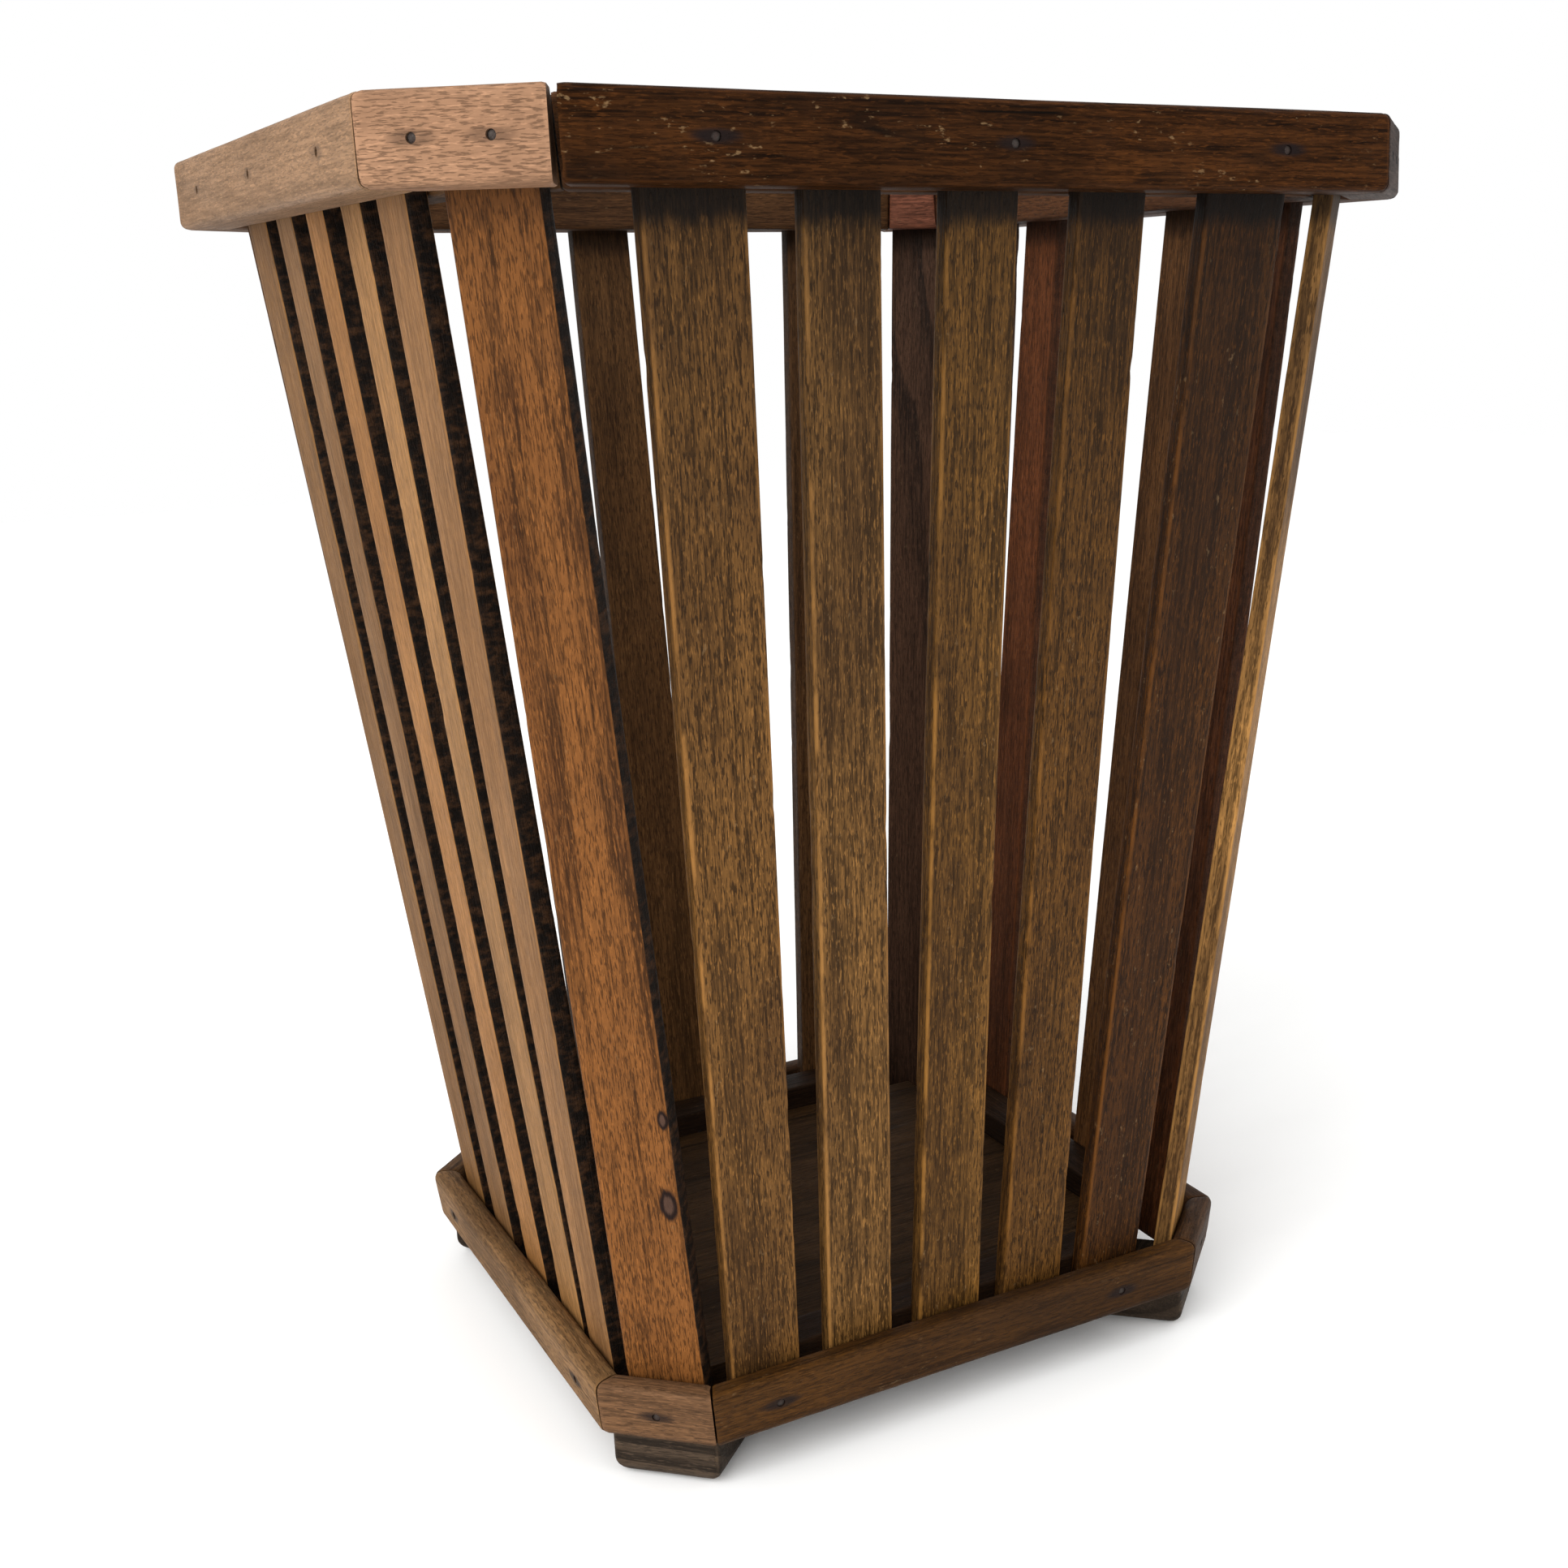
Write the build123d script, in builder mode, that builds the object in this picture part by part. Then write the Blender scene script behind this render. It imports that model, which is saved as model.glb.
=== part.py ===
"""Slatted wooden wastebasket, in millimetres, standing on +Z with its origin under its middle.

An eight-sided basket that narrows downwards. Straight slats stand in a ring, nailed between
thick rim boards outside and thinner ones inside. A second ring of boards ties their feet, cleats
carry them inside, and a board makes the floor. Four block feet lift it off the ground.
"""
import os
from math import cos, radians, sin, sqrt

from build123d import *

# Whole basket
rim_width = 300.0               # across the rim, from one long outer face to the other
rim_corner_cut = 33.0           # how far the rim's corner pieces cut back along each side
base_width = 214.0              # across the base ring at its lower edge
base_corner_cut = 25.0
body_height = 360.0             # from the base ring's lower edge to the top of the rim

# Rim, outer and inner boards
rim_board_height = 21.0
rim_board_thickness = 16.0      # at the lower edge, out to the slats
inner_board_thickness = 12.0    # at the lower edge, in from the slats
rim_edge_radius = 3.0
inner_edge_radius = 2.0
open_mitre = 1.8                # the one rim joint that has opened up with age
mitre_gap = 0.2

# Slats
slat_thickness = 6.0
slat_share = 0.714              # of each slat's room at the base ring, the rest is the gap
end_slat_flare = 1.286          # the outermost slats of a side widen by this much up to the rim
corner_slat_width = 24.0
end_space_top = 17.0            # from a side's end slat to the corner slat beside it
end_space_bottom = 6.0
slat_recess = 0.4               # the slats' ends lie this far below the rim's top
slat_edge_radius = 0.8
slats_per_side = 5
# how far each slat stands from its even place, left to right seen from outside, in gaps
top_shifts = {"front": (0.07, -0.03, -0.08, -0.13, 0.08), "left": (0.0, -0.05, -0.1, -0.05, 0.0),
              "back": (0.0, 0.3, 0.37, 0.3, 0.1), "right": (0.0, 0.0, 0.1, 0.36, 0.2)}
bottom_shifts = {"front": (-0.36, -0.3, -0.3, -0.36, -0.53), "left": (-0.42, -0.12, 0.42, 0.95, 0.42),
                 "back": (1.15, 1.0, 1.14, 0.9, 0.4), "right": (-0.45, 0.05, 0.5, 1.1, 0.5)}

# Base ring, cleats and floor
base_board_height = 18.0
base_board_thickness = 9.0
base_edge_radius = 3.5
cleat_thickness = 12.0          # at the lower edge, in from the slats
cleat_corner_space = 15.0       # kept free at each end of a cleat, beside the corner slats
floor_thickness = 10.0
floor_gap = 0.3                 # all round, between the floor and the cleats

# Feet
foot_width = 33.0
foot_depth = 40.0
foot_height = 14.0
foot_setback = 3.0              # behind the base ring's outer face
foot_edge_radius = 5.0

# Nails
nail_radius = 0.6
nail_head_radius = 1.2
nail_head_thickness = 0.8
nail_recess = 0.5               # the heads are punched this far below the wood
nail_clearance = 0.05           # round the shank and the head
rim_nail_length = 26.0
brad_length = 14.0              # in the base ring, the cleats and the inner rim
foot_nail_grip = 6.5            # how far a foot's nails reach into the ring and the floor
corner_nail_spacing = 19.0      # between the two nails of a rim corner piece
foot_nail_spacing = 10.0        # between the two nails of a foot that hold the floor
foot_nail_inset = 7.0           # from the foot's inner end
foot_nail_edge = 0.3            # wood left between a foot nail's tip and the corner slat

sides = {"front": -90.0, "right": 0.0, "back": 90.0, "left": 180.0}
corners = {"front_right": -45.0, "back_right": 45.0, "back_left": 135.0, "front_left": 225.0}

# Heights
base_bottom = foot_height
base_top = base_bottom + base_board_height
rim_top = base_bottom + body_height
rim_bottom = rim_top - rim_board_height
floor_top = base_bottom + floor_thickness
foot_nail_length = foot_height - nail_recess + foot_nail_grip


def corner_distance(width, cut):
    """How far a corner face is from the middle, when it cuts `cut` off both sides of a square."""
    return (width - cut) / sqrt(2)


class Wall:
    """One leaning wall of the basket: where the slats' outer face is at any height."""

    def __init__(self, at_rim, at_base):
        self.at_base = at_base
        self.slope = (at_rim - at_base) / (rim_bottom - base_bottom)
        self.cosine = 1 / sqrt(1 + self.slope ** 2)

    def outside(self, height):
        return self.at_base + self.slope * (height - base_bottom)

    def inside(self, height):
        return self.outside(height) - slat_thickness / self.cosine


side_rim = rim_width / 2
corner_rim = corner_distance(rim_width, rim_corner_cut)
side_base = base_width / 2
corner_base = corner_distance(base_width, base_corner_cut)
side_wall = Wall(side_rim - rim_board_thickness, side_base - base_board_thickness)
corner_wall = Wall(corner_rim - rim_board_thickness, corner_base - base_board_thickness)
walls = {name: side_wall for name in sides} | {name: corner_wall for name in corners}
directions = sides | corners


def outward(angle):
    return Vector(cos(radians(angle)), sin(radians(angle)), 0)


def along(angle):
    """To the right, seen from outside."""
    return Vector(-sin(radians(angle)), cos(radians(angle)), 0)


def point(angle, distance, across, height):
    return outward(angle) * distance + along(angle) * across + Vector(0, 0, height)


def section_plane(angle):
    """A plane through the middle: x runs outward and y runs up."""
    return Plane(origin=(0, 0, 0), x_dir=outward(angle), z_dir=along(angle) * -1)


def face_plane(angle, distance, across, height):
    """A plane on an upright face that looks outward."""
    return Plane(origin=point(angle, distance, across, height), x_dir=along(angle), z_dir=outward(angle))


def slat_plane(angle, wall):
    """The slats' outer face: y runs up the slope from the base ring's lower edge."""
    normal = outward(angle) * wall.cosine - Vector(0, 0, wall.slope * wall.cosine)
    return Plane(origin=point(angle, wall.at_base, 0, base_bottom), x_dir=along(angle), z_dir=normal)


def mitre_plane(angle, turn, outer_low, outer_high, inner_low, low, high):
    """The plane where a side board meets its neighbour on the left (turn -1) or right (turn 1).

    Each of the first three is the pair of distances of the side's face and the corner's face.
    """
    def meeting(distances, height):
        side_distance, corner_face = distances
        return point(angle, side_distance, turn * (sqrt(2) * corner_face - side_distance), height)

    start = meeting(outer_low, low)
    upward = meeting(outer_high, high) - start
    inward = meeting(inner_low, low) - start
    normal = inward.cross(upward)
    if normal.dot(along(angle)) * turn < 0:
        normal = normal * -1
    return Plane(origin=start, x_dir=inward, z_dir=normal)


def save(piece, name):
    piece.part.label = name
    export_step(piece.part, f"parts/{name}.step")


def drill(places, length):
    """Holes for nails: a pocket for the head and a bore for the shank."""
    for place in places:
        with Locations(place):
            CounterBoreHole(
                radius=nail_radius + nail_clearance,
                counter_bore_radius=nail_head_radius + nail_clearance,
                counter_bore_depth=nail_recess + nail_head_thickness,
                depth=nail_recess + length + nail_clearance,
            )


def save_nails(places, length, name):
    """One node of loose nails, each with its head at the bottom of its pocket."""
    with BuildPart() as nails:
        for place in places:
            with BuildSketch(place.offset(-nail_recess)):
                Circle(nail_head_radius)
            extrude(amount=-nail_head_thickness)
            with BuildSketch(place.offset(-nail_recess - nail_head_thickness)):
                Circle(nail_radius)
            extrude(amount=nail_head_thickness - length)
    save(nails, name)


def ring(kind, low, high, outer, inner, rounded, radius, nails, open_joints):
    """Eight mitred boards in a ring, four along the sides and four across the corners.

    outer and inner hold the boards' two faces as ((side, corner) at the low edge, the same at the
    high edge). rounded picks the arrises, counted from the inner low one outwards and up.
    nails holds (places by board, length) pairs, open_joints the joints that stand open.
    """
    for name, angle in directions.items():
        is_side = name in sides
        row = 0 if is_side else 1
        section = [(inner[0][row], low), (outer[0][row], low), (outer[1][row], high), (inner[1][row], high)]
        with BuildPart() as board:
            with BuildSketch(section_plane(angle)) as profile:
                Polygon(*section, align=None)
                fillet([profile.vertices().sort_by_distance(section[n])[0] for n in rounded], radius)
            extrude(amount=rim_width / 2, both=True)
            for turn in (-1, 1):
                if is_side:
                    plane = mitre_plane(angle, turn, *outer, inner[0], low, high)
                    gap = open_joints.get((name, turn), mitre_gap / 2)
                    split(bisect_by=plane.offset(-gap), keep=Keep.BOTTOM)
                else:
                    plane = mitre_plane(angle + turn * 45, -turn, *outer, inner[0], low, high)
                    split(bisect_by=plane.offset(mitre_gap / 2), keep=Keep.TOP)
            for places, length in nails:
                drill(places[name], length)
        save(board, f"{kind}_rail_{name}" if is_side else f"{kind}_corner_{name}")


def side_room(height):
    """From the middle of a side to the nearest edge of the corner slat."""
    return (corner_wall.inside(height) - corner_slat_width / 2) / sqrt(2)


steps_to_end = (slats_per_side - 1) / 2
pitch_bottom = (side_room(base_bottom) - end_space_bottom) / (steps_to_end + slat_share / 2)
slat_width = slat_share * pitch_bottom
end_slat_top_width = end_slat_flare * slat_width
pitch_top = (side_room(rim_top) - end_space_top - end_slat_top_width / 2) / steps_to_end
gap_bottom = pitch_bottom - slat_width
gap_top = pitch_top - slat_width


def slat_centre(side, number, height):
    """Where a side slat's middle is across its side, at a height."""
    even = number - steps_to_end
    at_bottom = even * pitch_bottom + bottom_shifts[side][number] * gap_bottom
    at_top = even * pitch_top + top_shifts[side][number] * gap_top
    share = (height - base_bottom) / (rim_top - base_bottom)
    return at_bottom + (at_top - at_bottom) * share


os.makedirs("parts", exist_ok=True)

# Nail places. Every other slat is nailed from outside at the rim, the rest from inside.
rim_nail_height = (rim_bottom + rim_top) / 2
base_nail_height = (base_bottom + base_top) / 2
outer_nailed = range(0, slats_per_side, 2)
inner_nailed = range(1, slats_per_side, 2)
base_nailed = (0, slats_per_side - 1)
cleat_nailed = range(1, slats_per_side - 1)


def leaning_face(wall, thickness, height):
    return wall.outside(height) + thickness


foot_front = corner_base - foot_setback
foot_back = foot_front - foot_depth
under_ring = corner_wall.outside(base_bottom + foot_nail_grip) + nail_radius + foot_nail_edge
under_floor = foot_back + foot_nail_inset
foot_nails = {side: [] for side in sides}
for corner, angle in corners.items():
    foot_nails[corner] = [
        Plane(origin=point(angle, distance, across, 0), x_dir=along(angle), z_dir=(0, 0, -1))
        for distance, across in ((under_ring, 0), (under_floor, -foot_nail_spacing / 2),
                                 (under_floor, foot_nail_spacing / 2))
    ]

cleat_face = side_wall.inside(base_bottom) - cleat_thickness
rim_nails = {}
base_nails = {}
inner_nails = {}
cleat_nails = {}
for side, angle in sides.items():
    rim_nails[side] = [
        face_plane(angle, side_rim, slat_centre(side, n, rim_nail_height), rim_nail_height)
        for n in outer_nailed
    ]
    base_nails[side] = [
        face_plane(angle, leaning_face(side_wall, base_board_thickness, base_nail_height),
                   slat_centre(side, n, base_nail_height), base_nail_height)
        for n in base_nailed
    ]
    inner_rim_face = side_wall.inside(rim_bottom) - inner_board_thickness
    inner_nails[side] = [
        face_plane(angle + 180, -inner_rim_face, -slat_centre(side, n, rim_nail_height), rim_nail_height)
        for n in inner_nailed
    ]
    cleat_nails[side] = [
        face_plane(angle + 180, -cleat_face, -slat_centre(side, n, base_nail_height), base_nail_height)
        for n in cleat_nailed
    ]
for corner, angle in corners.items():
    rim_nails[corner] = [
        face_plane(angle, corner_rim, across, rim_nail_height)
        for across in (-corner_nail_spacing / 2, corner_nail_spacing / 2)
    ]
    base_nails[corner] = [
        face_plane(angle, leaning_face(corner_wall, base_board_thickness, base_nail_height),
                   0, base_nail_height)
    ]
    inner_nails[corner] = []
    cleat_nails[corner] = []

rim_face = (side_rim, corner_rim)
slats_out = {height: (side_wall.outside(height), corner_wall.outside(height))
             for height in (base_bottom, base_top, rim_bottom, rim_top)}
slats_in = {height: (side_wall.inside(height), corner_wall.inside(height))
            for height in (base_bottom, base_top, rim_bottom, rim_top)}
inner_face = tuple(distance - inner_board_thickness for distance in slats_in[rim_bottom])

# Outer rim: upright outside, leaning with the slats inside
ring("rim", rim_bottom, rim_top, (rim_face, rim_face), (slats_out[rim_bottom], slats_out[rim_top]),
     (1, 2), rim_edge_radius, [(rim_nails, rim_nail_length)], {("front", -1): open_mitre})

# Inner rim: leaning outside, upright inside
ring("inner_rim", rim_bottom, rim_top, (slats_in[rim_bottom], slats_in[rim_top]), (inner_face, inner_face),
     (0, 3), inner_edge_radius, [(inner_nails, brad_length), (rim_nails, rim_nail_length)], {})

# Base ring: boards that lean with the slats
base_faces = tuple(tuple(distance + base_board_thickness for distance in slats_out[height])
                   for height in (base_bottom, base_top))
ring("base", base_bottom, base_top, base_faces, (slats_out[base_bottom], slats_out[base_top]),
     (1, 2), base_edge_radius, [(base_nails, brad_length), (foot_nails, foot_nail_length)], {})


def build_slat(name, direction, bottom_centre, top_centre, bottom_width, top_width):
    """A straight slat from the base ring's lower edge to the rim's top, in its leaning plane."""
    angle = directions[direction]
    wall = walls[direction]
    rise = rim_top - slat_recess - base_bottom - slat_thickness * wall.slope * wall.cosine
    length = rise / wall.cosine
    with BuildPart() as slat:
        with BuildSketch(slat_plane(angle, wall)):
            Polygon(
                (bottom_centre - bottom_width / 2, 0),
                (bottom_centre + bottom_width / 2, 0),
                (top_centre + top_width / 2, length),
                (top_centre - top_width / 2, length),
                align=None,
            )
        extrude(amount=-slat_thickness)
        long_edges = slat.edges().sort_by(SortBy.LENGTH)[-4:]
        fillet(long_edges, slat_edge_radius)
        drill(rim_nails[direction], rim_nail_length)
        for places in (base_nails, inner_nails, cleat_nails):
            drill(places[direction], brad_length)
    save(slat, name)


for side in sides:
    for number in range(slats_per_side):
        is_end = number in (0, slats_per_side - 1)
        build_slat(
            f"slat_{side}_{number + 1}", side,
            slat_centre(side, number, base_bottom), slat_centre(side, number, rim_top),
            slat_width, end_slat_top_width if is_end else slat_width,
        )
for corner in corners:
    build_slat(f"slat_corner_{corner}", corner, 0, 0, corner_slat_width, corner_slat_width)

# Cleats: square-ended boards inside the slats' feet
cleat_half = side_room(base_bottom) - cleat_corner_space
for side, angle in sides.items():
    with BuildPart() as cleat:
        with BuildSketch(section_plane(angle)):
            Polygon(
                (cleat_face, base_bottom),
                (side_wall.inside(base_bottom), base_bottom),
                (side_wall.inside(base_top), base_top),
                (cleat_face, base_top),
                align=None,
            )
        extrude(amount=cleat_half, both=True)
        drill(cleat_nails[side], brad_length)
    save(cleat, f"cleat_{side}")

# Floor: a square board between the cleats, its corners near the corner slats
floor_half = cleat_face - floor_gap
with BuildPart() as floor_board:
    with BuildSketch(Plane.XY.offset(base_bottom)):
        Rectangle(2 * floor_half, 2 * floor_half)
    extrude(amount=floor_thickness)
    for places in foot_nails.values():
        drill(places, foot_nail_length)
save(floor_board, "floor_board")

# Feet: blocks across the corners, rounded round their lower edges
for corner, angle in corners.items():
    with BuildPart() as foot:
        with BuildSketch(Plane(origin=point(angle, (foot_front + foot_back) / 2, 0, 0),
                               x_dir=along(angle), z_dir=(0, 0, 1))):
            Rectangle(foot_width, foot_depth)
        extrude(amount=foot_height)
        fillet(foot.faces().sort_by(Axis.Z)[0].edges(), foot_edge_radius)
        drill(foot_nails[corner], foot_nail_length)
    save(foot, f"foot_{corner}")


def all_places(*groups):
    return [place for group in groups for places in group.values() for place in places]


save_nails(all_places(rim_nails), rim_nail_length, "rim_nails")
save_nails(all_places(base_nails, inner_nails, cleat_nails), brad_length, "brads")
save_nails(all_places(foot_nails), foot_nail_length, "foot_nails")
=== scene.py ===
from math import cos, radians, sin, sqrt

import bpy
from mathutils import Matrix, Vector


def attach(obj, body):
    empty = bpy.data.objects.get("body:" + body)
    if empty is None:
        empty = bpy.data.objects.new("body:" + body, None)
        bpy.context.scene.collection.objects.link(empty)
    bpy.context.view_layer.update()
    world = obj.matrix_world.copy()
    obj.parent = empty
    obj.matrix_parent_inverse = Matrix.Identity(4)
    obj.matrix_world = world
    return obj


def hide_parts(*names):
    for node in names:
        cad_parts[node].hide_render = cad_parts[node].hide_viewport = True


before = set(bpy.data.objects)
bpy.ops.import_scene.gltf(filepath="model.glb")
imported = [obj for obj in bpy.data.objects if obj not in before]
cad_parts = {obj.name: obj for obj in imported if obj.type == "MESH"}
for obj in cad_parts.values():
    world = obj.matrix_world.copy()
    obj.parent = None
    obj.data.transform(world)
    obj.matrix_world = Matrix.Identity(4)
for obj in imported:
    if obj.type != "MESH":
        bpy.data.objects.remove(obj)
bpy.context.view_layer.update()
print("frame loaded with", len(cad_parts), "parts")

# Camera
camera = {
    "place": (-0.25939, -0.57238, 0.32844),
    "turn": 0.54191,  # to the right of straight ahead
    "tilt": -0.24469,
    "roll": -0.02029,
    "lens": 45.015,
    "shift": (-0.1488, -0.0005),
}


def placeCamera(name="camera"):
    turn, tilt, roll = camera["turn"], camera["tilt"], camera["roll"]
    ahead = Vector((sin(turn) * cos(tilt), cos(turn) * cos(tilt), sin(tilt)))
    level = Vector((cos(turn), -sin(turn), 0))
    above = level.cross(ahead)
    right = level * cos(roll) + above * sin(roll)
    up = above * cos(roll) - level * sin(roll)
    data = bpy.data.cameras.new(name)
    data.lens = camera["lens"]
    data.sensor_width = 36
    data.shift_x, data.shift_y = camera["shift"]
    holder = bpy.data.objects.new(name, data)
    bpy.context.scene.collection.objects.link(holder)
    turned = Matrix((right, up, -ahead)).transposed().to_4x4()
    turned.translation = camera["place"]
    holder.matrix_world = turned
    bpy.context.scene.camera = holder


placeCamera()
print("camera placed")


class Wire:  # the output of a node, so that sums can be written out plainly
    def __init__(self, socket):
        self.socket = socket

    def join(self, operation, *parts):
        tree = self.socket.id_data
        isVector = any(part.socket.type == "VECTOR" for part in parts if isinstance(part, Wire)) or any(
            isinstance(part, (tuple, Vector)) for part in parts)
        kind = "ShaderNodeVectorMath" if isVector else "ShaderNodeMath"
        if isVector:
            parts = [(part, part, part) if isinstance(part, (int, float)) else part for part in parts]
        output = "Value" if operation == "DOT_PRODUCT" else 0
        return addNode(tree, kind, {"operation": operation}, dict(enumerate(parts)), output)

    def __add__(self, other):
        return self.join("ADD", self, other)

    def __radd__(self, other):
        return self.join("ADD", other, self)

    def __sub__(self, other):
        return self.join("SUBTRACT", self, other)

    def __rsub__(self, other):
        return self.join("SUBTRACT", other, self)

    def __mul__(self, other):
        return self.join("MULTIPLY", self, other)

    def __truediv__(self, other):
        return self.join("DIVIDE", self, other)

    def __rtruediv__(self, other):
        return self.join("DIVIDE", other, self)

    def __neg__(self):
        return self.join("MULTIPLY", self, -1.0)

    def __abs__(self):
        return self.join("ABSOLUTE", self)


def addNode(tree, kind, settings=None, values=None, output=0):
    node = tree.nodes.new(kind)
    for key, value in (settings or {}).items():
        setattr(node, key, value)
    for key, value in (values or {}).items():
        if isinstance(value, Wire):
            tree.links.new(value.socket, node.inputs[key])
        else:
            node.inputs[key].default_value = value
    return Wire(node.outputs[output])


def least(first, second):
    return (first if isinstance(first, Wire) else second).join("MINIMUM", first, second)


def most(first, second):
    return (first if isinstance(first, Wire) else second).join("MAXIMUM", first, second)


def root(value):
    return value.join("SQRT", value)


def ease(value, low, high):  # 0 below low, 1 above high, smooth between
    return addNode(value.socket.id_data, "ShaderNodeMapRange", {"interpolation_type": "SMOOTHSTEP"},
                   {"Value": value, "From Min": low, "From Max": high})


def noise(place, detail=2.0, roughness=0.5):
    return addNode(place.socket.id_data, "ShaderNodeTexNoise", {"noise_dimensions": "3D"},
                   {"Vector": place, "Scale": 1.0, "Detail": detail, "Roughness": roughness})


def mixColour(share, first, second):
    return addNode(share.socket.id_data, "ShaderNodeMix", {"data_type": "RGBA", "blend_type": "MIX"},
                   {0: share, 6: first, 7: second}, 2)


def mixPlace(share, first, second):
    return addNode(share.socket.id_data, "ShaderNodeMix", {"data_type": "VECTOR"},
                   {0: share, 4: first, 5: second}, 1)


def split(place):
    tree = place.socket.id_data
    node = tree.nodes.new("ShaderNodeSeparateXYZ")
    tree.links.new(place.socket, node.inputs[0])
    return [Wire(socket) for socket in node.outputs]


def gather(x, y, z):
    first = next(part for part in (x, y, z) if isinstance(part, Wire))
    return addNode(first.socket.id_data, "ShaderNodeCombineXYZ", {}, {0: x, 1: y, 2: z})


def newTree(name, inputs):
    tree = bpy.data.node_groups.new(name, "GeometryNodeTree")
    for label, kind, value in inputs:
        made = tree.interface.new_socket(label, in_out="INPUT", socket_type="NodeSocket" + kind)
        if value is not None:
            made.default_value = value
    tree.interface.new_socket("Geometry", in_out="OUTPUT", socket_type="NodeSocketGeometry")
    start = tree.nodes.new("NodeGroupInput")
    return tree, {socket.name: Wire(socket) for socket in start.outputs if socket.name}


def closeTree(tree, shape, material):
    shape = addNode(tree, "GeometryNodeRealizeInstances", {}, {"Geometry": shape})
    shape = addNode(tree, "GeometryNodeSetMaterial", {}, {"Geometry": shape, "Material": material})
    end = tree.nodes.new("NodeGroupOutput")
    tree.links.new(shape.socket, end.inputs[0])


def sharpen(tree, shape, angle):  # smooth faces, but sharp along edges that turn by more than this
    shape = addNode(tree, "GeometryNodeSetShadeSmooth", {"domain": "FACE"},
                    {"Geometry": shape, "Shade Smooth": True})
    turn = addNode(tree, "GeometryNodeInputMeshEdgeAngle")
    steep = turn.join("GREATER_THAN", turn, angle)
    return addNode(tree, "GeometryNodeSetShadeSmooth", {"domain": "EDGE"},
                   {"Geometry": shape, "Selection": steep, "Shade Smooth": False})


fullTurn = 6.283
spinSeed = 7


def aimed(tree, points, shape, spin):  # a copy of shape at each point, its Z along the point's aim
    aim = addNode(tree, "GeometryNodeInputNamedAttribute", {"data_type": "FLOAT_VECTOR"}, {"Name": "aim"})
    turned = addNode(tree, "FunctionNodeAlignRotationToVector", {"axis": "Z"}, {"Vector": aim})
    if spin:
        about = addNode(tree, "FunctionNodeRandomValue", {"data_type": "FLOAT"},
                        {2: 0.0, 3: fullTurn, "Seed": spinSeed}, 1)
        local = addNode(tree, "FunctionNodeEulerToRotation", {}, {0: gather(0.0, 0.0, about)})
        turned = addNode(tree, "FunctionNodeRotateRotation", {"rotation_space": "LOCAL"},
                         {0: turned, 1: local})
    return addNode(tree, "GeometryNodeInstanceOnPoints", {},
                   {"Points": points, "Instance": shape, "Rotation": turned})


cornerNames = [f"Corner {n}" for n in range(1, 9)]

# How every board is worn. The scales are per metre: along the grain, across it and through the board.
wearing = {
    "crowd": (0.25, 0.42, 0.42),  # how much closer the mesh's rows stand near the arrises
    "seedStep": (0.37, 0.61, 0.23),
    "rubbed": (0.0002, 0.0026),   # metres from an arris: all rubbed up to the first, none past the second; the same band takes the painted highlight
    "waveScale": (14.0, 40.0, 40.0),
    "biteScale": (55.0, 110.0, 110.0),
    "biteRange": (0.55, 0.8),
    "sharpAngle": 1.0,
    "punchSides": 20,
}
tiny = 0.000001  # keeps a sum from dividing by nothing


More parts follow.
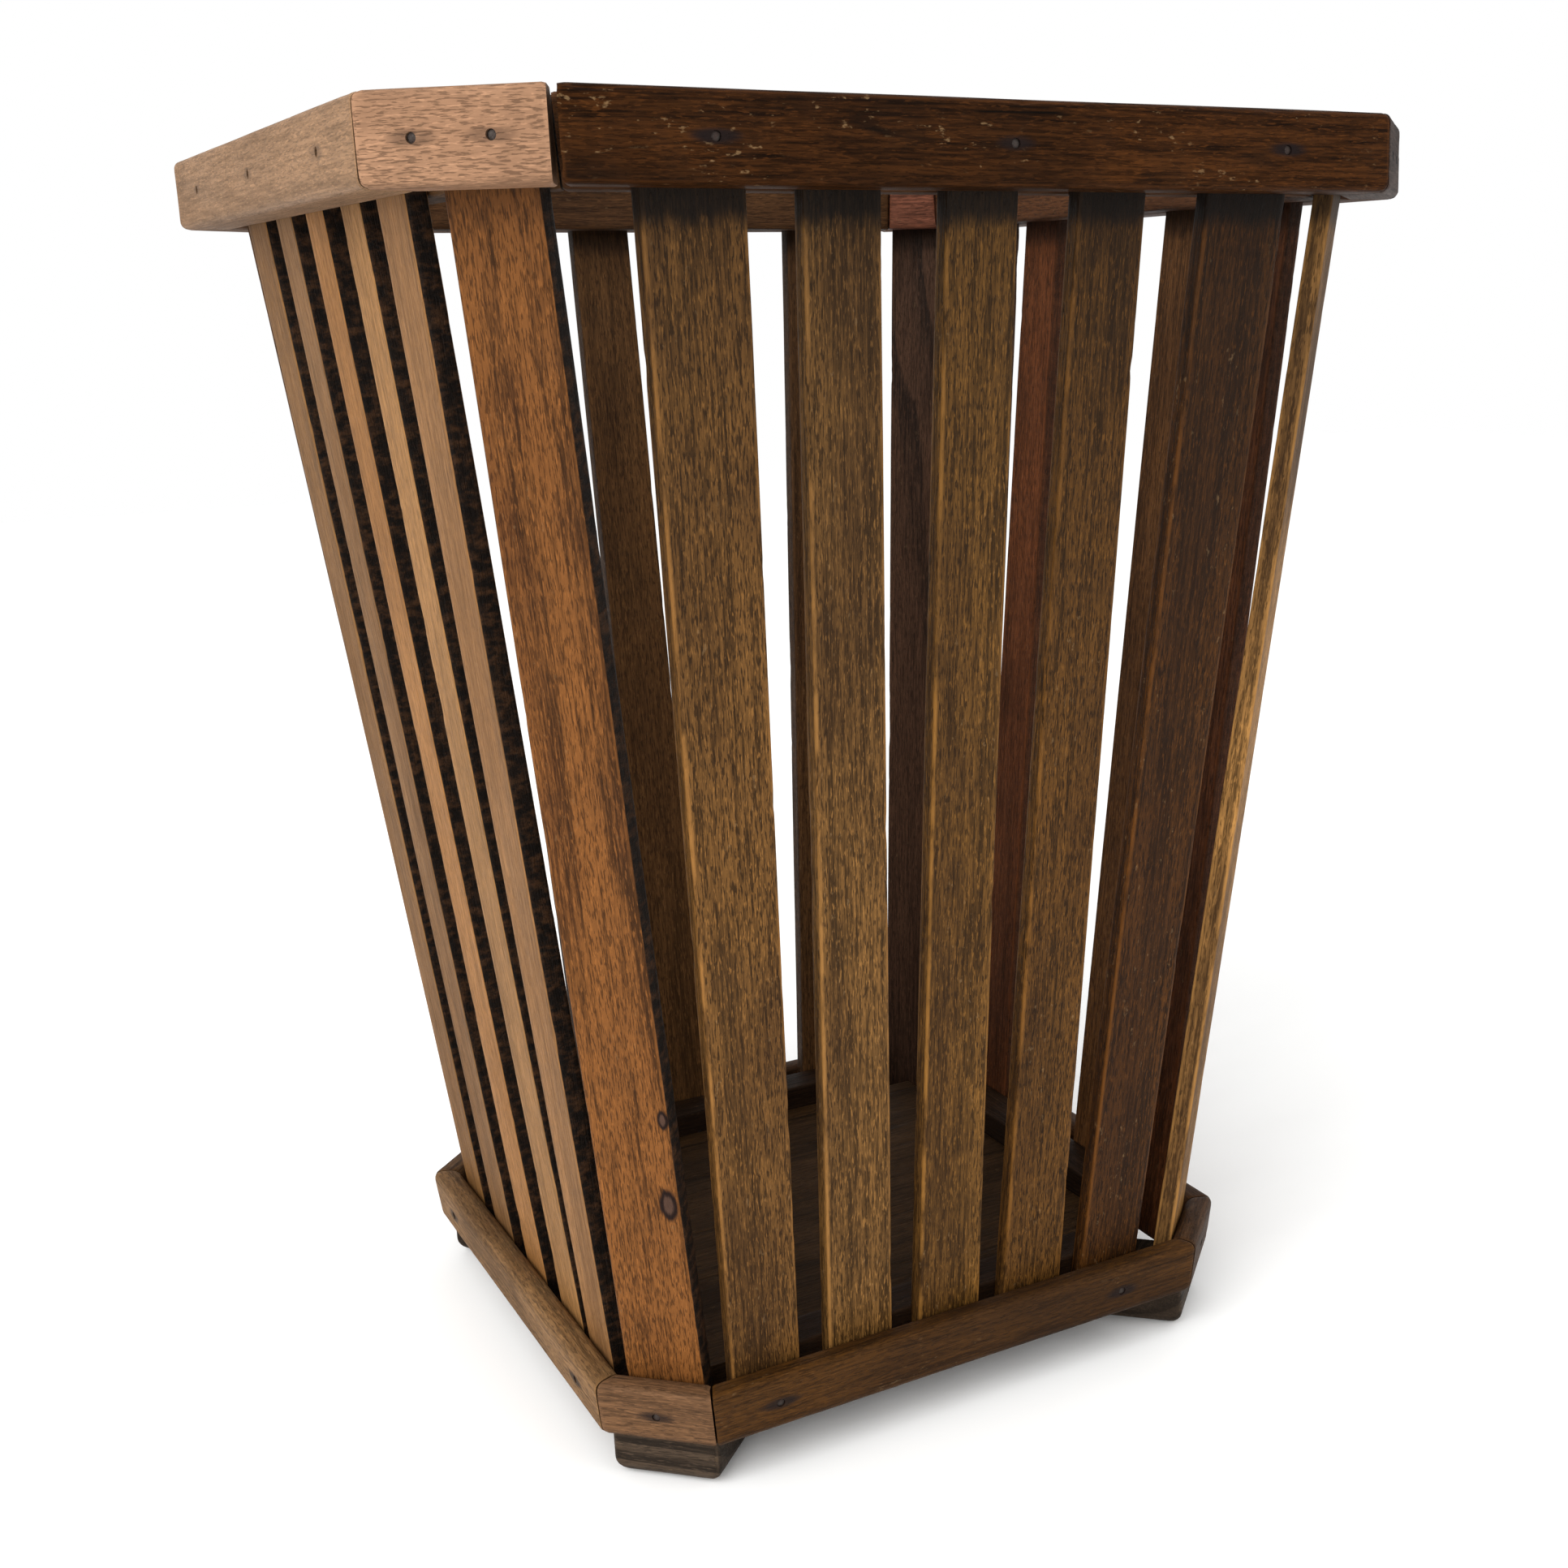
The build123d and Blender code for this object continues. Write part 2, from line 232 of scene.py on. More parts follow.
def boardTree():
    tree, at = newTree("Worn board", [
        ("Nail Places", "Geometry", None),
        *[(name, "Vector", None) for name in cornerNames],
        ("Size", "Vector", None),  # along the grain, across it and through the board
        ("Rows Along", "Int", 100), ("Rows Across", "Int", 12), ("Rows Through", "Int", 8),
        ("Edge Radius", "Float", 0.001), ("Start Radius", "Float", 0.0005), ("End Radius", "Float", 0.0005),
        ("Waviness", "Float", 0.0002), ("Chips", "Float", 0.0006), ("Seed", "Float", 0.0),
        ("Pockets", "Bool", True), ("Pocket Radius", "Float", 0.00125), ("Pocket Depth", "Float", 0.0014),
        ("Material", "Material", None),
    ])
    block = addNode(tree, "GeometryNodeMeshCube", {}, {
        "Size": (2.0, 2.0, 2.0), "Vertices X": at["Rows Along"], "Vertices Y": at["Rows Across"],
        "Vertices Z": at["Rows Through"]})
    here = addNode(tree, "GeometryNodeInputPosition")
    crowd = wearing["crowd"]
    unit = here * tuple(1 + share for share in crowd) - here * here * here * crowd
    half = at["Size"] * 0.5
    halfX, halfY, halfZ = split(half)
    x, y, z = split(unit * half)
    # the four long arrises
    radius = at["Edge Radius"]
    insideY = halfY - radius
    insideZ = halfZ - radius
    flatY = most(least(y, insideY), -insideY)
    flatZ = most(least(z, insideZ), -insideZ)
    overY = y - flatY
    overZ = z - flatZ
    reach = root(overY * overY + overZ * overZ)
    pull = most(abs(overY), abs(overZ)) / most(reach, tiny)
    y = flatY + overY * pull
    z = flatZ + overZ * pull
    # the arrises round both ends
    inset = 0.0
    for side, name in ((-1, "Start Radius"), (1, "End Radius")):
        past = most(x * side - halfX + at[name], 0.0)
        inset = at[name] - root(most(at[name] * at[name] - past * past, 0.0)) + inset
    y = y * ((halfY - inset) / halfY)
    z = z * ((halfZ - inset) / halfZ)
    # how near an arris is, and the wood lost there
    sideX = halfX - abs(x)
    sideY = halfY - abs(y)
    sideZ = halfZ - abs(z)
    near = most(least(sideX, sideY), least(most(sideX, sideY), sideZ))
    worn = 1.0 - ease(near, *wearing["rubbed"])
    spot = gather(x, y, z) + gather(*[at["Seed"] * step for step in wearing["seedStep"]])
    wave = noise(spot * wearing["waveScale"], 2.0)
    bite = ease(noise(spot * wearing["biteScale"], 3.0, 0.6), *wearing["biteRange"])
    loss = wave * at["Waviness"] + worn * worn * bite * at["Chips"]
    shape = addNode(tree, "GeometryNodeStoreNamedAttribute", {"data_type": "FLOAT", "domain": "POINT"},
                    {"Geometry": block, "Name": "wearAndHighlight", "Value": worn})
    shape = addNode(tree, "GeometryNodeStoreNamedAttribute", {"data_type": "FLOAT", "domain": "POINT"},
                    {"Geometry": shape, "Name": "loss", "Value": loss})
    # from the block to the board between its eight corners
    shareX = x / (halfX * 2.0) + 0.5
    shareY = y / (halfY * 2.0) + 0.5
    shareZ = z / (halfZ * 2.0) + 0.5
    rows = [mixPlace(shareX, at[cornerNames[n]], at[cornerNames[n + 4]]) for n in range(4)]
    rows = [mixPlace(shareY, rows[n], rows[n + 2]) for n in range(2)]
    shape = addNode(tree, "GeometryNodeSetPosition", {},
                    {"Geometry": shape, "Position": mixPlace(shareZ, rows[0], rows[1])})
    lost = addNode(tree, "GeometryNodeInputNamedAttribute", {"data_type": "FLOAT"}, {"Name": "loss"})
    facing = addNode(tree, "GeometryNodeInputNormal")
    shape = addNode(tree, "GeometryNodeSetPosition", {},
                    {"Geometry": shape, "Offset": facing * (lost * -1.0)})
    shape = addNode(tree, "GeometryNodeRemoveAttribute", {}, {"Geometry": shape, "Name": "loss"})
    # pockets punched by the nail heads
    punch = addNode(tree, "GeometryNodeMeshCylinder", {}, {
        "Vertices": wearing["punchSides"], "Radius": at["Pocket Radius"], "Depth": at["Pocket Depth"] * 2.0})
    punch = aimed(tree, at["Nail Places"], punch, False)
    punch = addNode(tree, "GeometryNodeRealizeInstances", {}, {"Geometry": punch})
    punched = addNode(tree, "GeometryNodeMeshBoolean", {"operation": "DIFFERENCE", "solver": "MANIFOLD"},
                      {"Mesh 1": shape, "Mesh 2": punch})
    shape = addNode(tree, "GeometryNodeSwitch", {"input_type": "GEOMETRY"},
                    {"Switch": at["Pockets"], "False": shape, "True": punched})
    closeTree(tree, sharpen(tree, shape, wearing["sharpAngle"]), at["Material"])
    return tree


# The shape that every nail shares, in metres
nailForm = {
    "headSides": 18,
    "shankSides": 10,
    "tipLength": 0.0025,
    "tipRadius": 0.0001,
    "rimDrop": 0.00022,   # how far the head's edge falls below its middle
    "topRange": 0.0003,   # only the head's top is dented
    "dentScale": 900.0,
    "sharpAngle": 0.9,
}


def nailTree():
    tree, at = newTree("Punched nail", [
        ("Nail Places", "Geometry", None),
        ("Head Radius", "Float", 0.0012), ("Head Thickness", "Float", 0.0008),
        ("Shank Radius", "Float", 0.0006), ("Length", "Float", 0.014), ("Dents", "Float", 0.00012),
        ("Material", "Material", None),
    ])
    head = addNode(tree, "GeometryNodeMeshCylinder", {"fill_type": "TRIANGLE_FAN"}, {
        "Vertices": nailForm["headSides"], "Side Segments": 2, "Fill Segments": 3,
        "Radius": at["Head Radius"], "Depth": at["Head Thickness"]})
    here = addNode(tree, "GeometryNodeInputPosition")
    x, y, z = split(here)
    out = root(x * x + y * y) / at["Head Radius"]
    dented = noise(here * nailForm["dentScale"], 2.0) * at["Dents"]
    sunk = (out * out * out * nailForm["rimDrop"] + dented) * ease(z, 0.0, nailForm["topRange"])
    head = addNode(tree, "GeometryNodeSetPosition", {},
                   {"Geometry": head, "Offset": gather(0.0, 0.0, sunk * -1.0)})
    head = addNode(tree, "GeometryNodeTransform", {},
                   {"Geometry": head, "Translation": gather(0.0, 0.0, at["Head Thickness"] * -0.5)})
    body = at["Length"] - at["Head Thickness"] - nailForm["tipLength"]
    shank = addNode(tree, "GeometryNodeMeshCylinder", {}, {
        "Vertices": nailForm["shankSides"], "Radius": at["Shank Radius"], "Depth": body})
    shank = addNode(tree, "GeometryNodeTransform", {}, {
        "Geometry": shank, "Translation": gather(0.0, 0.0, at["Head Thickness"] * -1.0 - body * 0.5)})
    tip = addNode(tree, "GeometryNodeMeshCone", {}, {
        "Vertices": nailForm["shankSides"], "Radius Top": nailForm["tipRadius"],
        "Radius Bottom": at["Shank Radius"], "Depth": nailForm["tipLength"]})
    tip = addNode(tree, "GeometryNodeTransform", {}, {
        "Geometry": tip, "Rotation": (radians(180), 0.0, 0.0),
        "Translation": gather(0.0, 0.0, at["Head Thickness"] * -1.0 - body)})
    nail = tree.nodes.new("GeometryNodeJoinGeometry")
    for part in (tip, shank, head):
        tree.links.new(part.socket, nail.inputs[0])
    shape = aimed(tree, at["Nail Places"], Wire(nail.outputs[0]), True)
    shape = addNode(tree, "GeometryNodeRealizeInstances", {}, {"Geometry": shape})
    closeTree(tree, sharpen(tree, shape, nailForm["sharpAngle"]), at["Material"])
    return tree


wornBoard = boardTree()
punchedNail = nailTree()
print("trees built for boards and nails")


def startPiece(name, tree, nails, inputs):
    mesh = bpy.data.meshes.new(name)
    mesh.from_pydata([place for place, aim in nails], [], [])
    aims = mesh.attributes.new("aim", "FLOAT_VECTOR", "POINT")
    for n, (place, aim) in enumerate(nails):
        aims.data[n].vector = aim
    piece = bpy.data.objects.new(name, mesh)
    bpy.context.scene.collection.objects.link(piece)
    modifier = piece.modifiers.new("shape", "NODES")
    modifier.node_group = tree
    for item in tree.interface.items_tree:
        if item.in_out == "INPUT" and item.name in inputs:
            modifier[item.identifier] = inputs[item.name]
    return piece


def finishPieces(pieces):
    seen = bpy.context.evaluated_depsgraph_get()
    made = {name: bpy.data.meshes.new_from_object(piece.evaluated_get(seen))
            for name, piece in pieces.items()}
    for name, piece in pieces.items():
        piece.modifiers.clear()
        blank, piece.data = piece.data, made[name]
        piece.data.name = name
        bpy.data.meshes.remove(blank)


# Sizes of the basket, in metres
basket = {
    "rimWidth": 0.300,
    "rimCornerCut": 0.033,
    "baseWidth": 0.214,
    "baseCornerCut": 0.025,
    "bodyHeight": 0.360,
    "footHeight": 0.014,
    "slatsPerSide": 5,
}
sideAngles = {"front": -90, "right": 0, "back": 90, "left": 180}
cornerAngles = {"front_right": -45, "back_right": 45, "back_left": 135, "front_left": 225}
allAngles = {**sideAngles, **cornerAngles}

rim = {"height": 0.021, "thickness": 0.016, "innerThickness": 0.012, "mitreGap": 0.0001, "openMitre": 0.0018}
base = {"height": 0.018, "thickness": 0.009}
slat = {
    "thickness": 0.006, "cornerWidth": 0.024, "endSpaceTop": 0.017, "endSpaceBottom": 0.006, "recess": 0.0004,
    "share": 0.714,  # of each slat's room at the base ring, the rest is the gap
    "endFlare": 1.286,
    # how far each slat stands from its even place, in gaps, left to right seen from outside
    "topShifts": {"front": (0.07, -0.03, -0.08, -0.13, 0.08), "left": (0, -0.05, -0.1, -0.05, 0),
                  "back": (0, 0.3, 0.37, 0.3, 0.1), "right": (0, 0, 0.1, 0.36, 0.2)},
    "bottomShifts": {"front": (-0.36, -0.3, -0.3, -0.36, -0.53), "left": (-0.42, -0.12, 0.42, 0.95, 0.42),
                     "back": (1.15, 1, 1.14, 0.9, 0.4), "right": (-0.45, 0.05, 0.5, 1.1, 0.5)},
}
cleat = {"thickness": 0.012, "cornerSpace": 0.015}
floorBoard = {"thickness": 0.010, "gap": 0.0003}
foot = {"width": 0.033, "depth": 0.040, "setback": 0.003}
nail = {
    "headRadius": 0.0012, "headThickness": 0.0008, "shankRadius": 0.0006, "recess": 0.0005,
    "pocketRadius": 0.00125, "pocketDepth": 0.0013,
    "rimLength": 0.026, "bradLength": 0.014, "footLength": 0.020,
    # which slats of a side are nailed, counted from 0
    "rimSlats": (0, 2, 4), "baseSlats": (0, 4), "innerRimSlats": (1, 3), "cleatSlats": (1, 2, 3),
    "cornerSpacing": 0.019, "footSpacing": 0.010, "footInset": 0.007, "footGrip": 0.0065, "footEdge": 0.0003,
}

baseLow = basket["footHeight"]
baseHigh = baseLow + base["height"]
rimHigh = baseLow + basket["bodyHeight"]
rimLow = rimHigh - rim["height"]


def outward(angle):
    return Vector((cos(radians(angle)), sin(radians(angle)), 0))


def rightward(angle):  # seen from outside
    return Vector((-sin(radians(angle)), cos(radians(angle)), 0))


def spotAt(angle, distance, across, height):
    return outward(angle) * distance + rightward(angle) * across + Vector((0, 0, height))


rimFace = (basket["rimWidth"] / 2, (basket["rimWidth"] - basket["rimCornerCut"]) / sqrt(2))
baseFace = (basket["baseWidth"] / 2, (basket["baseWidth"] - basket["baseCornerCut"]) / sqrt(2))
wallFoot = [face - base["thickness"] for face in baseFace]  # of a side (0) and a corner (1)
wallSlope = [(rimFace[n] - rim["thickness"] - wallFoot[n]) / (rimLow - baseLow) for n in (0, 1)]
wallCosine = [1 / sqrt(1 + slope ** 2) for slope in wallSlope]


def wallOutside(row, height):
    return wallFoot[row] + wallSlope[row] * (height - baseLow)


def wallInside(row, height):
    return wallOutside(row, height) - slat["thickness"] / wallCosine[row]


def sideRoom(height):
    return (wallInside(1, height) - slat["cornerWidth"] / 2) / sqrt(2)


stepsToEnd = (basket["slatsPerSide"] - 1) / 2
pitchBottom = (sideRoom(baseLow) - slat["endSpaceBottom"]) / (stepsToEnd + slat["share"] / 2)
slatWidth = slat["share"] * pitchBottom
endTopWidth = slat["endFlare"] * slatWidth
pitchTop = (sideRoom(rimHigh) - slat["endSpaceTop"] - endTopWidth / 2) / stepsToEnd


def slatCentre(side, number, height):
    even = number - stepsToEnd
    atBottom = even * pitchBottom + slat["bottomShifts"][side][number] * (pitchBottom - slatWidth)
    atTop = even * pitchTop + slat["topShifts"][side][number] * (pitchTop - slatWidth)
    return atBottom + (atTop - atBottom) * (height - baseLow) / (rimHigh - baseLow)


# Nail places, each with the way its head looks
nails = {"rim_nails": [], "brads": [], "foot_nails": []}
nailsOf = {}


def addNail(group, board, angle, distance, across, height, down=False, inwards=False):
    aim = Vector((0, 0, -1)) if down else outward(angle) * (-1 if inwards else 1)
    place = spotAt(angle, distance, across, height)
    nails[group].append((place - aim * nail["recess"], aim))
    nailsOf.setdefault(board, []).append((place, aim))


rimMiddle = (rimLow + rimHigh) / 2
baseMiddle = (baseLow + baseHigh) / 2
cleatFace = wallInside(0, baseLow) - cleat["thickness"]
innerRimFace = [wallInside(row, rimLow) - rim["innerThickness"] for row in (0, 1)]
footFront = baseFace[1] - foot["setback"]
footBack = footFront - foot["depth"]
for side, angle in sideAngles.items():
    for number in nail["rimSlats"]:
        addNail("rim_nails", f"rim_rail_{side}", angle, rimFace[0],
                slatCentre(side, number, rimMiddle), rimMiddle)
    for number in nail["baseSlats"]:
        addNail("brads", f"base_rail_{side}", angle, wallOutside(0, baseMiddle) + base["thickness"],
                slatCentre(side, number, baseMiddle), baseMiddle)
    for number in nail["innerRimSlats"]:
        addNail("brads", f"inner_rim_rail_{side}", angle, innerRimFace[0],
                slatCentre(side, number, rimMiddle), rimMiddle, inwards=True)
    for number in nail["cleatSlats"]:
        addNail("brads", f"cleat_{side}", angle, cleatFace,
                slatCentre(side, number, baseMiddle), baseMiddle, inwards=True)
for corner, angle in cornerAngles.items():
    for way in (-1, 1):
        addNail("rim_nails", f"rim_corner_{corner}", angle, rimFace[1],
                way * nail["cornerSpacing"] / 2, rimMiddle)
    addNail("brads", f"base_corner_{corner}", angle, wallOutside(1, baseMiddle) + base["thickness"],
            0, baseMiddle)
    underRing = wallOutside(1, baseLow + nail["footGrip"]) + nail["shankRadius"] + nail["footEdge"]
    addNail("foot_nails", f"foot_{corner}", angle, underRing, 0, 0, down=True)
    for way in (-1, 1):
        addNail("foot_nails", f"foot_{corner}", angle, footBack + nail["footInset"],
                way * nail["footSpacing"] / 2, 0, down=True)


def brightness(level):  # how much light a colour level from 0 to 255 stands for
    share = level / 255
    return share / 12.92 if level <= 10 else ((share + 0.055) / 1.055) ** 2.4


def tone(red, green, blue):
    return tuple(brightness(level) for level in (red, green, blue)) + (1,)


def shade(colour, share):
    return tuple(part * share for part in colour[:3]) + (1,)


# Old oiled hardwood. Each board takes these, and changes some.
wood = {
    "tone": (150, 112, 76),
    "dark": 0.42,           # the dark grain's share of the tone
    "light": 1.25,
    "rings": 0.35,          # how strongly the growth rings show
    "ringWidth": 0.0045,
    "fibre": 0.75,
    "streaks": 0.8,
    "pores": 0.5,
    "flecks": 0.3,
    "scuffs": 0.15,         # pale dents and dust
    "wander": 0.006,        # how far the grain strays
    "lean": 0.02,           # the grain's slope along the board
    "heart": (0.004, -0.045),  # where the tree's middle was, across and through
    "blotches": 0.35,
    "blotchTone": (38, 22, 13),
    "cracks": 0.0,
    "wearAndHighlight": 0.45,           # how far the arrises are rubbed and lightened with a painted highlight
    "wornAndHighlightTone": 1.35,
    "sawnAndShadedSides": 0.0,       # dark side faces: rough sawn wood with painted shade between the slats
    "underRimGrimeAndShade": 0.0,        # dirt and painted shade beneath the rim
    "roughness": 0.6,
    "gloss": 0.08,
    "stain": 0.85,          # iron stain round the nails
}

# Marks that all boards share. Colours are from 0 to 255 and lengths in metres.
marks = {
    "fleckShare": 2.3, "poreShare": 0.2,  # of the board's tone
    "endShare": 0.3, "endStrength": 0.55,
    "scuffTone": (150, 120, 84),
    "crackTone": (9, 5, 3),
    "sawnAndShadedTones": ((14, 9, 6), (58, 37, 21)),
    "grimeAndShadeTone": (14, 9, 6),
    "grimeAndShadeFall": 0.190, "grimeAndShadeStrength": 0.42,  # how far below the rim the dirt and painted shade reach
    "bandFall": 0.013, "bandEdge": 0.004,       # and the darker band of painted shade and dirt right beneath it
    "knotTones": ((26, 13, 9), (70, 50, 40)),
    "stainTone": (26, 19, 18),
    "stainLength": 0.0056, "stainWidth": 0.0017, "stainDepth": (-0.004, -0.001),
    "dustTone": (40, 28, 20), "dustStrength": 0.14,
    "seedStep": (0.731, 0.417, 0.253),
    "reliefStrength": 0.55, "relief": 0.0004,
}


def agedWood(name, axes, origin, seed, changes, stains=(), knots=()):
    look = {**wood, **changes}
    material = bpy.data.materials.new(name)
    material.use_nodes = True
    tree = material.node_tree
    tree.nodes.clear()
    along, across, through = axes
    turned = Matrix((along, across, through)).transposed().to_euler("XYZ")
    world = addNode(tree, "ShaderNodeTexCoord", output="Object")
    local = addNode(tree, "ShaderNodeMapping", {"vector_type": "TEXTURE"},
                    {"Vector": world, "Location": tuple(origin), "Rotation": tuple(turned)})
    x, y, z = split(local)
    spot = local + tuple(seed * step for step in marks["seedStep"])
    facing = addNode(tree, "ShaderNodeNewGeometry", output="Normal")

    # growth rings about the tree's middle, bent round any knots
    drift = noise(spot * (5.0, 20.0, 20.0), 2.0)
    drift2 = noise(spot * (4.0, 17.0, 17.0) + (3.1, 7.7, 1.3), 2.0)
    ringY = y + x * look["lean"] + (drift - 0.5) * look["wander"] - look["heart"][0]
    ringZ = z + (drift2 - 0.5) * look["wander"] - look["heart"][1]
    knotMask = 0.0
    for knotX, knotY, size in knots:
        farX = (x - knotX) / (size * 1.9)
        farY = (y - knotY) / size
        far = farX * farX + farY * farY
        swell = 1.0 / (1.0 + far * far)
        ringY = ringY + swell * size * 0.9
        knotMask = most(swell, knotMask)
    ring = root(ringY * ringY + ringZ * ringZ) / look["ringWidth"]
    ring = ring + (noise(spot * (3.0, 70.0, 70.0), 2.0) - 0.5) * 1.1
    turn = ring.join("FRACT", ring)
    late = ease(turn, 0.25, 0.9) * (1.0 - ease(turn, 0.92, 1.0))

    fibre = noise(spot * (55.0, 1150.0, 1150.0), 3.0, 0.6)
    strand = noise(spot * (7.0, 190.0, 190.0) + (1.7, 0.3, 5.1), 3.0, 0.55)
    dash = noise(spot * (300.0, 2300.0, 2300.0), 2.0, 0.5)  # open vessels, cut lengthwise
    fleck = noise(spot * (330.0, 2100.0, 2100.0) + (6.2, 1.9, 0.7), 2.0, 0.5)
    pore = ease(dash, 0.53, 0.62) * (1.0 - late * 0.35)
    shine = ease(fleck, 0.57, 0.66)
    blotch = ease(noise(spot * (9.0, 34.0, 34.0) + (8.2, 2.2, 4.4), 3.0, 0.55), 0.43, 0.66)
    grime = ease(noise(world * 55.0, 4.0, 0.65), 0.42, 0.7)

    middle = tone(*look["tone"])
    shareDark = 0.42 + (fibre - 0.5) * look["fibre"] * 3.6 + (strand - 0.5) * look["streaks"]
    shareDark = least(most(shareDark + (late - 0.3) * look["rings"], 0.0), 1.0)
    colour = mixColour(shareDark, shade(middle, look["light"]), shade(middle, look["dark"]))
    colour = mixColour(shine * look["flecks"], colour, shade(middle, marks["fleckShare"]))
    colour = mixColour(pore * look["pores"], colour, shade(middle, marks["poreShare"]))
    colour = mixColour(blotch * look["blotches"], colour, tone(*look["blotchTone"]))
    scuff = ease(noise(spot * (300.0, 620.0, 620.0) + (2.6, 4.1, 8.8), 3.0, 0.6), 0.62, 0.72)
    scuff = scuff * ease(noise(spot * (30.0, 80.0, 80.0), 1.0), 0.45, 0.6)
    colour = mixColour(scuff * look["scuffs"], colour, tone(*marks["scuffTone"]))
    height = fibre * 0.5 + strand * 0.25 + late * 0.2 - pore * 0.9

    if look["cracks"]:
        vein = noise(spot * (6.0, 75.0, 75.0) + (0.4, 9.1, 3.3), 1.0)
        crack = 1.0 - ease(abs(vein - 0.5), 0.006, 0.03)
        crack = crack * ease(noise(spot * (18.0, 60.0, 60.0), 2.0), 0.5, 0.6)
        colour = mixColour(crack * look["cracks"], colour, tone(*marks["crackTone"]))
        height = height - crack * 1.6
    # the arrises are lightened: partly rubbed wear, partly a painted highlight where the edges catch the
    # light
    rubbed = addNode(tree, "ShaderNodeAttribute", {"attribute_name": "wearAndHighlight"}, output="Fac")
    rubAndHighlight = ease(rubbed, 0.55, 0.95) * ease(noise(spot * (45.0, 90.0, 90.0), 3.0), 0.35, 0.6) * look["wearAndHighlight"]
    colour = mixColour(rubAndHighlight, colour, shade(middle, look["wornAndHighlightTone"]))
    # painted shade: the slats' side faces are darkened as if shaded between the slats, over a rough sawn
    # texture
    if look["sawnAndShadedSides"]:
        side = abs(facing.join("DOT_PRODUCT", facing, tuple(across)))
        sawnAndShaded = ease(side, 0.6, 0.85)
        teeth = noise(spot * (420.0, 60.0, 260.0), 3.0, 0.7)
        deep, proud = marks["sawnAndShadedTones"]
        colour = mixColour(sawnAndShaded * look["sawnAndShadedSides"], colour,
                           mixColour(ease(teeth, 0.4, 0.75), tone(*deep), tone(*proud)))
        height = height + sawnAndShaded * (teeth - 0.5) * 2.4
    ends = abs(facing.join("DOT_PRODUCT", facing, tuple(along)))
    endGrain = ease(ends, 0.7, 0.9)
    colour = mixColour(endGrain * marks["endStrength"], colour, shade(middle, marks["endShare"]))
    # painted shade with dirt: the slats darken towards the rim, where the rim's shadow falls, most in a band
    # right beneath it
    if look["underRimGrimeAndShade"]:
        level = split(world)[2] + (strand - 0.5) * 0.006
        bandTop = rimLow - marks["bandEdge"]
        grimeAndShadeFade = ease(level, rimLow - marks["grimeAndShadeFall"], bandTop) * marks["grimeAndShadeStrength"]
        grimeAndShadeBand = ease(level, rimLow - marks["bandFall"], bandTop)
        colour = mixColour(most(grimeAndShadeFade, grimeAndShadeBand) * look["underRimGrimeAndShade"], colour, tone(*marks["grimeAndShadeTone"]))
    for knotX, knotY, size in knots:
        farX = (x - knotX) / (size * 0.75)
        farY = (y - knotY) / (size * 0.4)
        far = root(farX * farX + farY * farY) + (fibre - 0.5) * 0.6
        bark, middleWood = marks["knotTones"]
        colour = mixColour(1.0 - ease(far, 0.9, 1.3), colour, tone(*bark))
        colour = mixColour(1.0 - ease(far, 0.45, 0.8), colour, tone(*middleWood))
        height = height - (1.0 - ease(abs(far - 1.0), 0.0, 0.3)) * 0.8
    for stainX, stainY in stains:
        farX = (x - stainX) / marks["stainLength"]
        farY = (y - stainY) / marks["stainWidth"]
        far = farX * farX + farY * farY + (strand - 0.5) * 2.0
        halo = (1.0 - ease(far, 0.1, 1.8)) * look["stain"] * ease(z, *marks["stainDepth"])
        colour = mixColour(halo, colour, tone(*marks["stainTone"]))
    colour = mixColour(grime * marks["dustStrength"], colour, tone(*marks["dustTone"]))

    roughness = look["roughness"] + (fibre - 0.5) * 0.25 + blotch * 0.08 - rubbed * 0.08
    bump = addNode(tree, "ShaderNodeBump", {}, {
        "Strength": marks["reliefStrength"], "Distance": marks["relief"], "Height": height})
    surface = addNode(tree, "ShaderNodeBsdfPrincipled", {}, {
        "Base Color": colour, "Roughness": roughness, "Normal": bump, "Specular IOR Level": look["gloss"]})
    end = tree.nodes.new("ShaderNodeOutputMaterial")
    tree.links.new(surface.socket, end.inputs["Surface"])
    return material


boards = {}


def addBoard(name, corners, axes, origin, shape, look, knots=()):
    # corners: start to end along the grain, then across, then inner to outer
    along, across, through = axes
    seed = len(boards) + 1
    size = []
    for step in (4, 2, 1):
        pairs = [n for n in range(8) if not n & step]
        size.append(sum((corners[n | step] - corners[n]).length for n in pairs) / len(pairs))
    punched = nailsOf.get(name, [])
    stains = []
    for place, aim in punched:
        if abs(aim.dot(through)) > 0.5:
            seen = place - origin
            stains.append((seen.dot(along), seen.dot(across)))
    material = agedWood(name, axes, origin, seed, look, stains, knots)
    inputs = {f"Corner {n + 1}": tuple(corner) for n, corner in enumerate(corners)}
    inputs.update({
        "Size": tuple(size), "Material": material, "Seed": float(seed), "Pockets": bool(punched),
        "Pocket Radius": nail["pocketRadius"], "Pocket Depth": nail["pocketDepth"],
        "Rows Along": max(8, round(size[0] / shape["rowLength"])),
        "Rows Across": shape["rowsAcross"], "Rows Through": shape["rowsThrough"],
        "Edge Radius": shape["edge"], "Start Radius": shape.get("start", shape["end"]),
        "End Radius": shape["end"], "Waviness": shape["wave"], "Chips": shape["chips"],
    })
    boards[name] = startPiece(name, wornBoard, punched, inputs)


